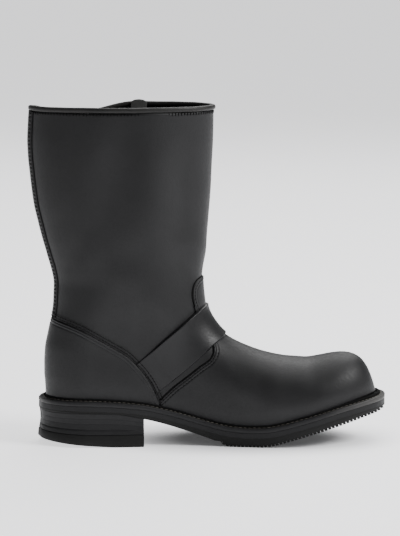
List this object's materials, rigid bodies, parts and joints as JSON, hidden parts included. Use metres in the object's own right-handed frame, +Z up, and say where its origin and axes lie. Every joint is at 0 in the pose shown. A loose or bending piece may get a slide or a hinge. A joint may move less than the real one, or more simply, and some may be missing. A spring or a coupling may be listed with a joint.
{
  "type": "biker boot",
  "caption": "Tall pull-on boot with a round toe, a plain strap over the instep, a stacked heel and a ribbed sole.",
  "frame": {"origin": "middle of the bounding box at the floor under the heel and forefoot", "axes": "+X towards the toe, +Y to the boot's left-hand side, +Z up the shaft"},
  "size_m": [0.3168, 0.105, 0.3006],
  "materials": {
    "upper_leather": "matte black leather",
    "strap_leather": "smooth satin black leather",
    "binding_leather": "matte rolled leather edge",
    "tab_webbing": "woven webbing",
    "insole_leather": "plain footbed leather",
    "sole_leather": "black edge-dressed sole leather",
    "sole_rubber": "matte black rubber"
  },
  "bodies": {
    "root": {"upper": "upper_leather", "vamp": "upper_leather", "counter": "upper_leather", "backstay": "upper_leather", "instep_strap": "strap_leather", "collar_binding": "binding_leather", "pull_tab": "tab_webbing", "insole": "insole_leather", "welt": "sole_leather", "midsole": "sole_leather", "outsole": "sole_rubber", "heel_lift_1": "sole_leather", "heel_lift_2": "sole_leather", "heel_lift_3": "sole_leather", "heel_lift_4": "sole_leather", "top_lift": "sole_rubber"}
  },
  "joints": []
}
